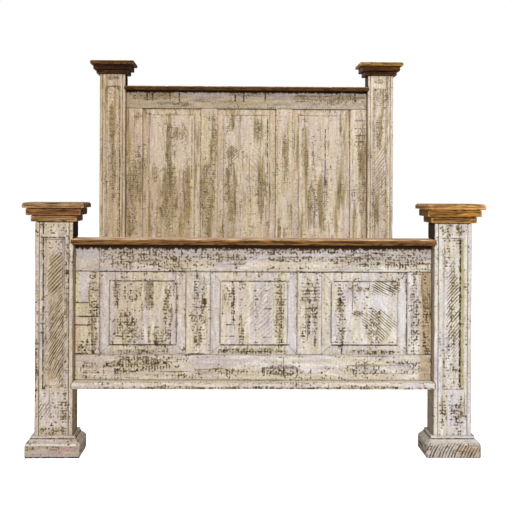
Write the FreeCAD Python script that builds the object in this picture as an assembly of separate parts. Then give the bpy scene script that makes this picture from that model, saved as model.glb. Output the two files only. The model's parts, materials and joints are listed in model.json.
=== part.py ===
"""Wooden bed frame: panelled headboard and footboard between capped posts, hooked side rails, loose slats.

Millimetres. X across the bed, +Y from footboard to headboard, +Z up, origin on the floor under the middle.
"""

import os

import FreeCAD
import Part

V = FreeCAD.Vector
os.makedirs("parts", exist_ok=True)

# ---------------------------------------------------------------- dimensions
POST = 152.0            # post section, side boards included
ACROSS = 1733.0         # outer face to outer face of the posts
RAIL_LEN = 2083.0       # side rail, foot post to head post
POST_TOP = {"foot": 928.0, "head": 1736.0}            # under the cap

SIDE_BOARD = 17.0       # boards that clad the two sides of a post core
RECESS_W = 84.0         # recess in a post front, width at the surface
RECESS_D = 8.0          # its depth; the walls slope at 45 degrees
RECESS_Z = {"foot": (270.0, 866.0), "head": (520.0, 1663.0)}

# caps: (side, thickness) of three boards, bottom up
CAP = {"foot": ((184.0, 25.0), (216.0, 29.0), (244.0, 22.0)),
       "head": ((190.0, 25.0), (224.0, 29.0), (258.0, 22.0))}
CAP_LABELS = ("lower", "middle", "top")
CAP_ROUND = {"lower": 2.5, "middle": 2.5, "top": 10.0}
CAP_TENON = 70.0

BASE_OUT = 33.0         # base moulding, stand-off from the post
BASE_FILLET = 11.5      # stand-off of the square bead above the bevel
BASE_Z = (55.0, 74.0, 86.0)

SETBACK = 55.0          # panel frame behind the post front
FRAME_T = 42.0          # panel frame thickness
STILE_IN = 617.0        # inner edge of the stiles, from the middle
MUNTIN = (174.0, 272.5)
CAPRAIL_T = 25.0
CAPRAIL_ROUND = 8.0
HOUSING = 8.0           # cap rail and ledge let into the posts
LEDGE_DEPTH = 110.0
LEDGE_Z = (265.0, 293.0)
LEDGE_ROUND = 4.0

FRAME = {"foot": {"low": 293.0, "open": (396.0, 728.0), "top": 837.0},
         "head": {"low": 440.0, "open": (548.0, 1538.0), "top": 1644.0}}

TENON_T = (15.0, 27.0)  # tongues and tenons, depth range inside the frame thickness
TENON_IN = 14.0         # tenon shoulder
TENON_LEN = 24.0
POST_TONGUE = 12.0      # frame edge let into the posts
CAP_TONGUE = (560.0, 8.0)   # half length and height of the tongue under cap rail and ledge
GROOVE_T = (18.0, 26.0) # panel groove, depth range
GROOVE_D = 11.0
PANEL_EDGE = 9.5        # panel tongue in its groove, the rest is room to move
PANEL_GAP = 0.5
FIELD_IN = 40.0         # raised field, inset from the opening
FIELD_FACE = 2.0        # raised field behind the frame face
FIELD_STEP = 9.0        # foot of the step round the field

RAIL_X = (780.0, 818.0)
RAIL_Z = (265.0, 455.0)
ARRIS = 3.0             # rounding of the long edges of rails and slats
CLEAT = 38.0
CLEAT_Z = 272.0
CLEAT_END = 40.0
SLATS = 5
SLAT_W = 89.0
SLAT_T = 38.0
SLAT_X = 779.0
SLAT_STEP = 425.0

PLATE_W = 28.0
PLATE_T = 3.0
PLATE_Z = (290.0, 430.0)
HOOK_Z = (325.0, 395.0)
HOOK_T = 4.0
HOOK_OUT = (3.2, 8.5)   # inside and outside of the hook's lip, from the rail end
HOOK_UP, HOOK_DOWN = 10.0, 18.0
SLOT_T = 5.0
SLOT_UP, SLOT_DOWN = 20.0, 10.0
POCKET = (10.0, 12.0, 21.0)     # room behind the slot: width, depth, half height

SCREW_R, SCREW_HEAD, SCREW_TIP = 2.2, 4.2, 0.4
POST_SCREW, RAIL_SCREW = 38.0, 45.0
PLATE_SCREW_Z = (301.0, 419.0)
CLEAT_SCREW = (63.0, 2.5, 5.0)
CLEAT_SCREW_Y = (-900.0, -540.0, -180.0, 180.0, 540.0, 900.0)

SIDES = (("left", -1), ("right", 1))
MID_Y = (CAP["foot"][2][0] - CAP["head"][2][0]) / 4                 # puts the caps level about the origin
RAIL_Y = (MID_Y - RAIL_LEN / 2, MID_Y + RAIL_LEN / 2)
FRONT = {"foot": RAIL_Y[0] - POST, "head": RAIL_Y[1]}               # front faces of the posts
MEET = (("foot", RAIL_Y[0], -1), ("head", RAIL_Y[1], 1))            # where a side rail meets them
POST_IN = ACROSS / 2 - POST
POST_MID = ACROSS / 2 - POST / 2
CORE_X = (POST_IN + SIDE_BOARD, ACROSS / 2 - SIDE_BOARD)
RAIL_MID = (RAIL_X[0] + RAIL_X[1]) / 2
CLEAT_X = (RAIL_X[0] - CLEAT, RAIL_X[0])


# ---------------------------------------------------------------- helpers
def box(x0, x1, y0, y1, z0, z1):
    x0, x1 = min(x0, x1), max(x0, x1)
    y0, y1 = min(y0, y1), max(y0, y1)
    z0, z1 = min(z0, z1), max(z0, z1)
    return Part.makeBox(x1 - x0, y1 - y0, z1 - z0, V(x0, y0, z0))


def square(cx, cy, side, z0, z1):
    h = side / 2
    return box(cx - h, cx + h, cy - h, cy + h, z0, z1)


def rect_xz(x0, x1, z0, z1, y):
    return Part.makePolygon([V(x0, y, z0), V(x1, y, z0), V(x1, y, z1), V(x0, y, z1), V(x0, y, z0)])


def rect_xy(cx, cy, side, z):
    h = side / 2
    return Part.makePolygon([V(cx - h, cy - h, z), V(cx + h, cy - h, z), V(cx + h, cy + h, z),
                             V(cx - h, cy + h, z), V(cx - h, cy - h, z)])


def loft(a, b):
    return Part.makeLoft([a, b], True, True)


def near(u, v):
    return abs(u - v) < 1e-6


def rounded(shape, radius, test):
    """Fillets the edges whose two ends pass the test."""
    edges = [e for e in shape.Edges if test(e.Vertexes[0].Point, e.Vertexes[-1].Point)]
    return shape.makeFillet(radius, edges)


def save(name, shape):
    if isinstance(shape, list):
        shape = Part.makeCompound(shape)
    else:
        solids = shape.removeSplitter().Solids
        assert len(solids) == 1, (name, len(solids))
        shape = solids[0]
    assert shape.isValid(), name
    shape.exportStep("parts/%s.step" % name)


def screw(x, y, z, axis, length, r, head):
    """Countersunk screw, head flush at the point, running along axis."""
    d = V(*axis)
    p = V(x, y, z)
    sink = head - r
    point = 2 * r
    cone = Part.makeCone(head, r, sink, p, d)
    shank = Part.makeCylinder(r, length - sink - point, p + d * sink, d)
    tip = Part.makeCone(r, SCREW_TIP, point, p + d * (length - point), d)
    return cone.fuse(shank).fuse(tip).removeSplitter()


# ---------------------------------------------------------------- screws
screws, post_screws, rail_screws, cleat_screws = [], {}, {}, {}
for side, s in SIDES:
    for end, y, out in MEET:
        post_screws[side, end] = [screw(s * RAIL_MID, y, z, (0, out, 0), POST_SCREW, SCREW_R, SCREW_HEAD)
                                  for z in PLATE_SCREW_Z]
        rail_screws[side, end] = [screw(s * RAIL_MID, y, z, (0, -out, 0), RAIL_SCREW, SCREW_R, SCREW_HEAD)
                                  for z in PLATE_SCREW_Z]
        screws += post_screws[side, end] + rail_screws[side, end]
    cleat_screws[side] = [screw(s * CLEAT_X[0], MID_Y + y, CLEAT_Z + CLEAT / 2, (s, 0, 0), *CLEAT_SCREW)
                          for y in CLEAT_SCREW_Y]
    screws += cleat_screws[side]
save("screws", screws)


# ---------------------------------------------------------------- posts
def post(end, side, s):
    y0, top = FRONT[end], POST_TOP[end]
    lo, hi = RECESS_Z[end]
    frame = FRAME[end]
    cx, cy = s * POST_MID, y0 + POST / 2
    name = "%s_post_%s_" % (end, side)

    core = box(s * CORE_X[0], s * CORE_X[1], y0, y0 + POST, 0, top)
    core = core.fuse(square(cx, cy, CAP_TENON, top, top + CAP[end][0][1] + CAP[end][1][1]))
    w, over = RECESS_W / 2, 2.0
    mouth = rect_xz(cx - w - over, cx + w + over, lo - over, hi + over, y0 - over)
    floor = rect_xz(cx - w + RECESS_D, cx + w - RECESS_D, lo + RECESS_D, hi - RECESS_D, y0 + RECESS_D)
    core = core.cut(loft(mouth, floor))
    # slot plate let in flush where the side rail meets the post, with room for the hooks behind it
    meet, inward = (y0 + POST, -1) if end == "foot" else (y0, 1)
    core = core.cut(box(s * RAIL_MID - PLATE_W / 2, s * RAIL_MID + PLATE_W / 2,
                        meet, meet + inward * PLATE_T, *PLATE_Z))
    wide, deep, tall = POCKET
    for z in HOOK_Z:
        core = core.cut(box(s * RAIL_MID - wide / 2, s * RAIL_MID + wide / 2,
                            meet, meet + inward * deep, z - tall, z + tall))
    for sc in post_screws[side, end]:
        core = core.cut(sc)
    save(name + "core", core)

    save(name + "outer_board", box(s * CORE_X[1], s * ACROSS / 2, y0, y0 + POST, 0, top))

    inner = box(s * POST_IN, s * CORE_X[0], y0, y0 + POST, 0, top)
    f = y0 + SETBACK
    inner = inner.cut(box(s * POST_IN, s * (POST_IN + POST_TONGUE), f + TENON_T[0], f + TENON_T[1],
                          frame["low"], frame["top"]))
    inner = inner.cut(box(s * POST_IN, s * (POST_IN + HOUSING), y0, y0 + POST,
                          frame["top"], frame["top"] + CAPRAIL_T))
    if end == "foot":
        inner = inner.cut(box(s * POST_IN, s * (POST_IN + HOUSING), y0, y0 + LEDGE_DEPTH, *LEDGE_Z))
    save(name + "inner_board", inner)

    # base moulding: four mitred boards round the post
    wide, mid = POST + 2 * BASE_OUT, POST + 2 * BASE_FILLET
    ring = square(cx, cy, wide, 0, BASE_Z[0])
    ring = ring.fuse(loft(rect_xy(cx, cy, wide, BASE_Z[0]), rect_xy(cx, cy, mid, BASE_Z[1])))
    ring = ring.fuse(square(cx, cy, mid, BASE_Z[1], BASE_Z[2]))
    ring = ring.removeSplitter().cut(square(cx, cy, POST, -1, BASE_Z[2] + 1))
    corners = [V(cx + i * wide, cy + j * wide, 0) for i, j in ((-1, -1), (1, -1), (1, 1), (-1, 1))]
    boards = []
    for a, b in zip(corners, corners[1:] + corners[:1]):
        wedge = Part.Face(Part.makePolygon([V(cx, cy, 0), a, b, V(cx, cy, 0)]))
        boards.append(ring.common(wedge.extrude(V(0, 0, BASE_Z[2]))).removeSplitter().Solids[0])
    save(name + "base", boards)

    # cap: three stacked boards, the lower two threaded on the tenon
    z = top
    for label, (width, t) in zip(CAP_LABELS, CAP[end]):
        up = z + t
        board = rounded(square(cx, cy, width, z, up), CAP_ROUND[label],
                        lambda p, q: near(p.z, up) and near(q.z, up))
        if label != "top":
            board = board.cut(square(cx, cy, CAP_TENON, z - 1, up + 1))
        save(name + "cap_" + label, board)
        z = up


for end in FRONT:
    for side, s in SIDES:
        post(end, side, s)


# ---------------------------------------------------------------- panel frames
def panel_frame(end):
    y0 = FRONT[end]
    low, (z0, z1), top = FRAME[end]["low"], FRAME[end]["open"], FRAME[end]["top"]
    f = y0 + SETBACK
    t0, t1 = f + TENON_T[0], f + TENON_T[1]
    g0, g1 = f + GROOVE_T[0], f + GROOVE_T[1]
    name = "%sboard_" % end

    def upright(xa, xb, grooves):
        """A board between the rails, with a tenon at each end and panel grooves at the given (x, direction)."""
        u = box(xa, xb, f, f + FRAME_T, z0, z1)
        u = u.fuse(box(min(xa, xb) + TENON_IN, max(xa, xb) - TENON_IN, t0, t1, z0 - TENON_LEN, z1 + TENON_LEN))
        for x, d in grooves:
            u = u.cut(box(x, x + d * GROOVE_D, g0, g1, z0, z1))
        return u

    for side, s in SIDES:
        stile = upright(s * STILE_IN, s * POST_IN, [(s * STILE_IN, s)])
        stile = stile.fuse(box(s * POST_IN, s * (POST_IN + POST_TONGUE), t0, t1, z0, z1))
        save(name + "stile_" + side, stile)
        muntin = upright(s * MUNTIN[0], s * MUNTIN[1], [(s * MUNTIN[0], s), (s * MUNTIN[1], -s)])
        save(name + "muntin_" + side, muntin)

    def rail(a, b, edge, into):
        """A board from post to post, with mortises and the panel groove in its edge that faces the panels."""
        r = box(-POST_IN, POST_IN, f, f + FRAME_T, a, b)
        r = r.fuse(box(-POST_IN - POST_TONGUE, POST_IN + POST_TONGUE, t0, t1, a, b))
        for s in (-1, 1):
            for xa, xb in (MUNTIN, (STILE_IN, POST_IN)):
                r = r.cut(box(s * (xa + TENON_IN), s * (xb - TENON_IN), t0, t1, edge, edge + into * TENON_LEN))
        groove = STILE_IN + GROOVE_D
        return r.cut(box(-groove, groove, g0, g1, edge, edge + into * GROOVE_D))

    half, tall = CAP_TONGUE
    save(name + "top_rail", rail(z1, top, z1, 1).fuse(box(-half, half, t0, t1, top, top + tall)))
    bottom = rail(low, z0, z0, -1)
    if end == "foot":
        bottom = bottom.fuse(box(-half, half, t0, t1, low - tall, low))
    save(name + "bottom_rail", bottom)

    spans = (("left", -STILE_IN, -MUNTIN[1]), ("centre", -MUNTIN[0], MUNTIN[0]), ("right", MUNTIN[1], STILE_IN))
    for label, x0, x1 in spans:
        p = box(x0 - PANEL_EDGE, x1 + PANEL_EDGE, g0, g1, z0 - PANEL_EDGE, z1 + PANEL_EDGE)
        k, c = FIELD_IN, PANEL_GAP
        slope = loft(rect_xz(x0 + c, x1 - c, z0 + c, z1 - c, g0),
                     rect_xz(x0 + k, x1 - k, z0 + k, z1 - k, f + FIELD_STEP))
        field = box(x0 + k, x1 - k, f + FIELD_FACE, f + FIELD_STEP, z0 + k, z1 - k)
        save(name + "panel_" + label, p.fuse(slope).fuse(field))

    def board_across(depth, za, zb, radius, slot_z):
        """A board across the whole width, let into both posts, with a rounded nose and a slot for the tongue."""
        board = box(-POST_IN - HOUSING, POST_IN + HOUSING, y0, y0 + depth, za, zb)
        board = rounded(board, radius, lambda p, q: near(p.y, y0) and near(q.y, y0) and not near(p.x, q.x))
        return board.cut(box(-half, half, t0, t1, *slot_z))

    save(name + "cap_rail", board_across(POST, top, top + CAPRAIL_T, CAPRAIL_ROUND, (top, top + tall)))
    if end == "foot":
        save(name + "ledge", board_across(LEDGE_DEPTH, *LEDGE_Z, LEDGE_ROUND, (low - tall, low)))


for end in FRONT:
    panel_frame(end)


# ---------------------------------------------------------------- side rails and slats
cleats, hook_plates, slot_plates = [], [], []
for side, s in SIDES:
    rail = rounded(box(s * RAIL_X[0], s * RAIL_X[1], *RAIL_Y, *RAIL_Z), ARRIS, lambda p, q: not near(p.y, q.y))
    cleat = box(s * CLEAT_X[0], s * CLEAT_X[1], RAIL_Y[0] + CLEAT_END, RAIL_Y[1] - CLEAT_END,
                CLEAT_Z, CLEAT_Z + CLEAT)
    plate_x = (s * RAIL_MID - PLATE_W / 2, s * RAIL_MID + PLATE_W / 2)
    hook_x = (s * RAIL_MID - HOOK_T / 2, s * RAIL_MID + HOOK_T / 2)
    slot_x = (s * RAIL_MID - SLOT_T / 2, s * RAIL_MID + SLOT_T / 2)
    for end, y, out in MEET:
        lip_in, lip_out = y + out * HOOK_OUT[0], y + out * HOOK_OUT[1]
        hook = box(*plate_x, y, y - out * PLATE_T, *PLATE_Z)
        rail = rail.cut(hook)
        slot = box(*plate_x, y, y + out * PLATE_T, *PLATE_Z)
        for z in HOOK_Z:
            hook = hook.fuse(box(*hook_x, y, lip_out, z - HOOK_UP, z + HOOK_UP))
            hook = hook.fuse(box(*hook_x, lip_in, lip_out, z - HOOK_DOWN, z - HOOK_UP))
            slot = slot.cut(box(*slot_x, y, y + out * PLATE_T, z - SLOT_DOWN, z + SLOT_UP))
        for sc in post_screws[side, end]:
            slot = slot.cut(sc)
        for sc in rail_screws[side, end]:
            hook = hook.cut(sc)
            rail = rail.cut(sc)
        hook_plates.append(hook.removeSplitter().Solids[0])
        slot_plates.append(slot.removeSplitter().Solids[0])
    for sc in cleat_screws[side]:
        rail = rail.cut(sc)
        cleat = cleat.cut(sc)
    save("side_rail_" + side, rail)
    cleats.append(cleat)

save("slat_cleats", cleats)
save("rail_hook_plates", hook_plates)
save("post_slot_plates", slot_plates)

deck = CLEAT_Z + CLEAT
for i in range(SLATS):
    yc = MID_Y + (i - (SLATS - 1) / 2) * SLAT_STEP
    slat = box(-SLAT_X, SLAT_X, yc - SLAT_W / 2, yc + SLAT_W / 2, deck, deck + SLAT_T)
    save("slat_%d" % (i + 1), rounded(slat, ARRIS, lambda p, q: not near(p.x, q.x)))
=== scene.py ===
"""Looks of the bed frame: worn boards made from the CAD nodes, scraped paint, brown stain, camera and light.

Metres, in the row's frame: X across the bed, +Y from footboard to headboard, +Z up, origin on the floor
under the middle. The places of marks on the boards are in millimetres.
"""

import json
import math

import bmesh
import bpy
import numpy as np
from mathutils import Matrix, Vector


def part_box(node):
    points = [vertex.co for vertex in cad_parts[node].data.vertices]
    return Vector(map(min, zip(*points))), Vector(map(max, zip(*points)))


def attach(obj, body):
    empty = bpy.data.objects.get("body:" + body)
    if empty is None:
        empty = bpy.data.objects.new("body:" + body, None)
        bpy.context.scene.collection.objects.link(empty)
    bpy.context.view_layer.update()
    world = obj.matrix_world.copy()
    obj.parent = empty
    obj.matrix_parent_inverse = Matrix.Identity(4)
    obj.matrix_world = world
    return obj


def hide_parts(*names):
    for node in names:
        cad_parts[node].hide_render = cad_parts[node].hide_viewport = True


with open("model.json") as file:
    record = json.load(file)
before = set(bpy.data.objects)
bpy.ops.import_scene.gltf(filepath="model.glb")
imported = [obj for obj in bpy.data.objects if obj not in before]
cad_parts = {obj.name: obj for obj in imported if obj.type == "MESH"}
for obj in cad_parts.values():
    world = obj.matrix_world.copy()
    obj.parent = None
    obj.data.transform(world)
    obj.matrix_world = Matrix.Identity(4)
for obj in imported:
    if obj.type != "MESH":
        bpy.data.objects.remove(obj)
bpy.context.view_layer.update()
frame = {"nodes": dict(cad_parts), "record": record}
X, Y, Z = 0, 1, 2
MM = 0.001
FINE, MEDIUM, COARSE = 3.4 * MM, 4.6 * MM, 6.0 * MM     # voxels of the worn boards
SAW_PITCH, GRAIN_PITCH = 11.5 * MM, 9.5 * MM            # rows of saw marks and lines of grain
GROOVE_WIDTH, GROOVE_DEPTH = 2.6 * MM, 1.6 * MM         # half width and depth of the grooves between planks
BORDER = 40.0                                           # slope of a panel round its raised field, in mm


# ------------------------------------------------------------------ worn boards
def value_noise(points, seed):
    """Smooth noise from 0 to 1 at points (n, 3), one cell of the lattice per unit."""
    base = np.floor(points).astype(np.int64)
    part = points - base
    part = part * part * (3 - 2 * part)
    total = np.zeros(len(points))
    for corner in np.ndindex(2, 2, 2):
        c = base + corner
        h = (c[:, 0] * 374761393 + c[:, 1] * 668265263 + c[:, 2] * 1440662683 + seed * 974634777) & 0xFFFFFFFF
        h = ((h ^ (h >> 13)) * 1274126177) & 0xFFFFFFFF
        value = ((h ^ (h >> 16)) & 0xFFFF) / 65535
        weight = np.prod(np.where(corner, part, 1 - part), axis=1)
        total += weight * value
    return total


def smoothed(co, pairs, times):
    """Points moved towards the mean of their neighbours, times over."""
    n = len(co)
    count = np.bincount(pairs.ravel(), minlength=n)[:, None]
    for _ in range(times):
        near = np.empty_like(co)
        for k in range(3):
            near[:, k] = np.bincount(pairs[:, 0], co[pairs[:, 1], k], n)
            near[:, k] += np.bincount(pairs[:, 1], co[pairs[:, 0], k], n)
        co = 0.5 * co + 0.5 * near / count
    return co


def loose_solids(mesh):
    """The mesh's separate closed shells, each as a bmesh."""
    whole = bmesh.new()
    whole.from_mesh(mesh)
    bmesh.ops.remove_doubles(whole, verts=whole.verts, dist=1e-6)
    left = set(whole.verts)
    shells = []
    while left:
        stack, seen = [left.pop()], set()
        while stack:
            v = stack.pop()
            seen.add(v)
            for e in v.link_edges:
                w = e.other_vert(v)
                if w in left:
                    left.discard(w)
                    stack.append(w)
        shells.append(sorted(v.index for v in seen))
    parts = []
    for keep in sorted(shells):
        part = whole.copy()
        keep = set(keep)
        bmesh.ops.delete(part, geom=[v for v in part.verts if v.index not in keep], context="VERTS")
        parts.append(part)
    whole.free()
    return parts


def remeshed(part, voxel):
    """One closed shell as an even grid of quads."""
    mesh = bpy.data.meshes.new("shell")
    part.to_mesh(mesh)
    part.free()
    ob = bpy.data.objects.new("shell", mesh)
    bpy.context.scene.collection.objects.link(ob)
    mod = ob.modifiers.new("grid", "REMESH")
    mod.mode = "VOXEL"
    mod.voxel_size = voxel
    new = bpy.data.meshes.new_from_object(ob.evaluated_get(bpy.context.evaluated_depsgraph_get()))
    bpy.data.objects.remove(ob)
    bpy.data.meshes.remove(mesh)
    return new


def worn_shell(mesh, voxel, wear, seed, planks):
    """Rounds and nicks the edges of an even grid, inward only.

    Keeps how much a point is an edge or a hollow, and the tone of its plank, as attributes.
    """
    n = len(mesh.vertices)
    co = np.empty(n * 3)
    mesh.vertices.foreach_get("co", co)
    co = co.reshape(n, 3)
    pairs = np.empty(len(mesh.edges) * 2, dtype=np.int64)
    mesh.edges.foreach_get("vertices", pairs)
    pairs = pairs.reshape(-1, 2)
    normals = np.empty(n * 3)
    mesh.vertex_normals.foreach_get("vector", normals)
    normals = normals.reshape(n, 3)

    soft = smoothed(co, pairs, 1)
    wide = smoothed(soft, pairs, 7)
    bend = np.einsum("ij,ij->i", soft - wide, normals) / voxel
    edge = np.clip(bend / 0.35, 0, 1)
    pit = np.clip(-bend / 0.25, 0, 1)

    nick = value_noise(soft * 45, seed)
    big = value_noise(soft * 14, seed + 1)
    depth = edge * wear * (0.3 + 2.6 * np.clip(nick - 0.45, 0, 1) + 3.0 * np.clip(big - 0.6, 0, 1)) * MM
    depth += 0.5 * MM * value_noise(soft * 9, seed + 2)
    tone = np.full(n, 0.5)
    if planks:
        lines, tones = planks
        x = soft[:, 0] + 2 * MM * (value_noise(soft * (0, 0, 4), seed) - 0.5)
        groove = np.zeros(n)
        for line in lines:
            groove = np.maximum(groove, np.clip(1 - np.abs(x - line * MM) / GROOVE_WIDTH, 0, 1))
        groove *= value_noise(soft * (1, 1, 16), seed + 5)
        depth += groove * GROOVE_DEPTH
        pit = np.maximum(pit, groove)
        tone = np.array(tones)[np.searchsorted(np.array(lines) * MM, x)]
    new = soft - normals * depth[:, None]
    mesh.vertices.foreach_set("co", new.ravel())
    for name, values in (("edge", edge), ("pit", pit), ("tone", tone)):
        mesh.attributes.new(name, "FLOAT", "POINT").data.foreach_set("value", values.astype(np.float32))
    mesh.update()


BODY_OF = {n: body for body, nodes in frame["record"]["behaviour"]["bodies"].items() for n in nodes}


def worn(node, material, voxel, wear=1.0, seed=0, planks=None):
    """A weathered copy of a CAD node, in its place, riding on its body."""
    joined = bmesh.new()
    for i, part in enumerate(loose_solids(frame["nodes"][node].data)):
        shell = remeshed(part, voxel)
        worn_shell(shell, voxel, wear, seed + i * 17, planks)
        joined.from_mesh(shell)
        bpy.data.meshes.remove(shell)
    mesh = bpy.data.meshes.new("worn_" + node)
    joined.to_mesh(mesh)
    joined.free()
    mesh.shade_smooth()
    mesh.materials.append(material)
    ob = bpy.data.objects.new("worn_" + node, mesh)
    bpy.context.scene.collection.objects.link(ob)
    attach(ob, BODY_OF[node])
    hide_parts(node)


# ------------------------------------------------------------------ materials
class Look:
    """One material under construction.

    Lengths are in metres, along the grain, across it and through the board. Painted and stained looks set
    ragged, which makes outlines uneven, and painted ones set broken, which interrupts lines.
    """

    def __init__(self, name, grain, face, seed):
        self.mat = bpy.data.materials.new(name)
        self.mat.use_nodes = True
        self.tree = self.mat.node_tree
        self.tree.nodes.clear()
        place = self.add("ShaderNodeTexCoord").outputs["Object"]
        self.xyz = self.add("ShaderNodeSeparateXYZ", Vector=place).outputs
        self.along, self.across, self.through = (self.xyz[i] for i in (grain, 3 - grain - face, face))
        lined = self.add("ShaderNodeCombineXYZ", X=self.along, Y=self.across, Z=self.through).outputs[0]
        self.place = self.vec("ADD", lined, (seed * 1.37, seed * 2.11, seed * 0.73))

    def add(self, kind, **inputs):
        """A shader node with its inputs linked or set."""
        node = self.tree.nodes.new(kind)
        for name, value in inputs.items():
            self.give(node.inputs[name.replace("_", " ")], value)
        return node

    def give(self, socket, value):
        if isinstance(value, bpy.types.NodeSocket):
            self.tree.links.new(value, socket)
        elif value is not None:
            socket.default_value = (*value, 1) if socket.type == "RGBA" and len(value) == 3 else value

    def vec(self, op, a, b):
        node = self.add("ShaderNodeVectorMath")
        node.operation = op
        self.give(node.inputs[0], a)
        self.give(node.inputs[1], b)
        return node.outputs[0]

    def math(self, op, a, b=None, c=None):
        node = self.add("ShaderNodeMath")
        node.operation = op
        for socket, value in zip(node.inputs, (a, b, c)):
            self.give(socket, value)
        return node.outputs[0]

    def chain(self, op, values):
        total = values[0]
        for v in values[1:]:
            total = self.math(op, total, v)
        return total

    def most(self, *values):
        return self.chain("MAXIMUM", values)

    def times(self, *values):
        return self.chain("MULTIPLY", values)

    def plus(self, *values):
        return self.chain("ADD", values)

    def noise(self, stretch, detail=2.0, rough=0.5, warp=0.0, place=None):
        """Noise with that many cells per metre along, across and through, or along the axes of place."""
        place = self.vec("MULTIPLY", place or self.place, stretch)
        return self.add("ShaderNodeTexNoise", Vector=place, Scale=1.0, Detail=detail, Roughness=rough,
                        Distortion=warp).outputs["Fac"]

    def step(self, value, low, high):
        """0 below low, 1 above high, smooth between."""
        node = self.add("ShaderNodeMapRange", Value=value, From_Min=low, From_Max=high)
        node.interpolation_type = "SMOOTHSTEP"
        return node.outputs[0]

    def mix(self, share, a, b, kind="MIX"):
        node = self.add("ShaderNodeMix")
        node.data_type = "RGBA"
        node.blend_type = kind
        self.give(node.inputs["Factor"], share)
        self.give(node.inputs[6], a)
        self.give(node.inputs[7], b)
        return node.outputs[2]

    def normal(self):
        """The surface normal's X, Y and Z."""
        geometry = self.add("ShaderNodeNewGeometry")
        return self.add("ShaderNodeSeparateXYZ", Vector=geometry.outputs["Normal"]).outputs

    def attribute(self, name):
        node = self.add("ShaderNodeAttribute")
        node.attribute_name = name
        return node.outputs["Fac"]

    def spot(self, x, z, half_x, half_z):
        """1 at (x, z) mm, fading to 0 at an ellipse of the given half sizes, with a ragged outline."""
        dx = self.times(self.math("SUBTRACT", self.xyz[X], x * MM), 1 / (half_x * MM))
        dz = self.times(self.math("SUBTRACT", self.xyz[Z], z * MM), 1 / (half_z * MM))
        far = self.plus(self.times(dx, dx), self.times(dz, dz), self.ragged)
        return self.math("SUBTRACT", 1.0, self.step(far, 0.3, 1.15))

    def band(self, x0, x1, z0, z1):
        """1 inside a rectangle in mm, with a ragged outline."""
        dx = self.math("ABSOLUTE", self.math("SUBTRACT", self.xyz[X], (x0 + x1) / 2 * MM))
        dz = self.math("ABSOLUTE", self.math("SUBTRACT", self.xyz[Z], (z0 + z1) / 2 * MM))
        past_x = self.math("SUBTRACT", dx, (x1 - x0) / 2 * MM)
        past_z = self.math("SUBTRACT", dz, (z1 - z0) / 2 * MM)
        soft = min(18.0, 0.6 * min(x1 - x0, z1 - z0)) * MM
        far = self.math("MULTIPLY_ADD", self.ragged, soft, self.most(past_x, past_z))
        return self.math("SUBTRACT", 1.0, self.step(far, -0.7 * soft, 0.5 * soft))

    def inset(self, axis, low, high):
        """How far inside two edges in mm, along X or Z."""
        off = self.math("ABSOLUTE", self.math("SUBTRACT", self.xyz[axis], (low + high) / 2 * MM))
        return self.math("SUBTRACT", (high - low) / 2 * MM, off)

    def stroke(self, x0, z0, x1, z1, width, strength):
        """A level or upright dark line between two points in mm: whole at strength 2, dotted at 0.5."""
        dx = self.math("ABSOLUTE", self.math("SUBTRACT", self.xyz[X], (x0 + x1) / 2 * MM))
        dz = self.math("ABSOLUTE", self.math("SUBTRACT", self.xyz[Z], (z0 + z1) / 2 * MM))
        dx = self.math("MAXIMUM", self.math("SUBTRACT", dx, abs(x1 - x0) / 2 * MM), 0.0)
        dz = self.math("MAXIMUM", self.math("SUBTRACT", dz, abs(z1 - z0) / 2 * MM), 0.0)
        far = self.step(self.math("ADD", dx, dz), 0.2 * width * MM, 0.65 * width * MM)
        near = self.math("SUBTRACT", 1.0, far)
        return self.math("MINIMUM", self.times(near, self.broken, strength), 1.0)

    def hatch(self, x, z, half_x, half_z, slope, period, strength):
        """Slanting saw strokes inside an ellipse in mm, period apart."""
        size = math.hypot(1, slope)
        u = self.plus(self.times(self.xyz[X], 1 / size), self.times(self.xyz[Z], slope / size))
        v = self.plus(self.times(self.xyz[X], slope / size), self.times(self.xyz[Z], -1 / size))
        v = self.plus(v, self.times(self.noise((4, 7, 7), 1), 0.035))
        place = self.add("ShaderNodeCombineXYZ", X=u, Y=v, Z=self.through).outputs[0]
        torn = self.math("SUBTRACT", self.noise((16, 110, 10), 2, 0.5, place=place), 0.5)
        wave = self.math("SINE", self.times(v, 2 * math.pi / (period * MM)))
        line = self.plus(self.times(wave, 0.5), self.times(torn, 2.4))
        return self.times(self.step(line, 0.05, 0.38), self.spot(x, z, half_x, half_z), strength)

    def finish(self, colour, rough, height, deep, **extra):
        bump = self.add("ShaderNodeBump", Height=height, Distance=deep, Strength=1.0)
        shader = self.add("ShaderNodeBsdfPrincipled", Base_Color=colour, Roughness=rough,
                          Normal=bump.outputs[0])
        for name, value in extra.items():
            shader.inputs[name.replace("_", " ")].default_value = value
        out = self.add("ShaderNodeOutputMaterial")
        self.tree.links.new(shader.outputs[0], out.inputs["Surface"])
        return self.mat


CREAM = (0.64, 0.565, 0.455)
LILAC = (0.57, 0.51, 0.505)
STRAW = (0.58, 0.525, 0.37)
CHALK = (0.74, 0.70, 0.63)
TAN = (0.52, 0.38, 0.21)
WASH = (0.42, 0.335, 0.21)
OLIVE = (0.33, 0.235, 0.09)
BARE_DARK = (0.026, 0.017, 0.006)
BARE_MID = (0.17, 0.118, 0.052)
# dark brown of dirt, also used for painted shade and shadow lines
GRIME_AND_SHADE = (0.040, 0.027, 0.011)
KHAKI = (0.28, 0.20, 0.075)
PEACH = (0.62, 0.42, 0.26)
BROWN = (0.33, 0.22, 0.11)
YELLOW = (0.62, 0.58, 0.30)
MAUVE = (0.42, 0.34, 0.36)
PINK = (0.66, 0.54, 0.45)
LEFT_PAINTED_LIGHT, RIGHT_PAINTED_LIGHT = (0.79, 0.73, 0.675), (1.03, 1.055, 1.11)    # painted light on the paint at X = -1 m and +1 m


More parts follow.
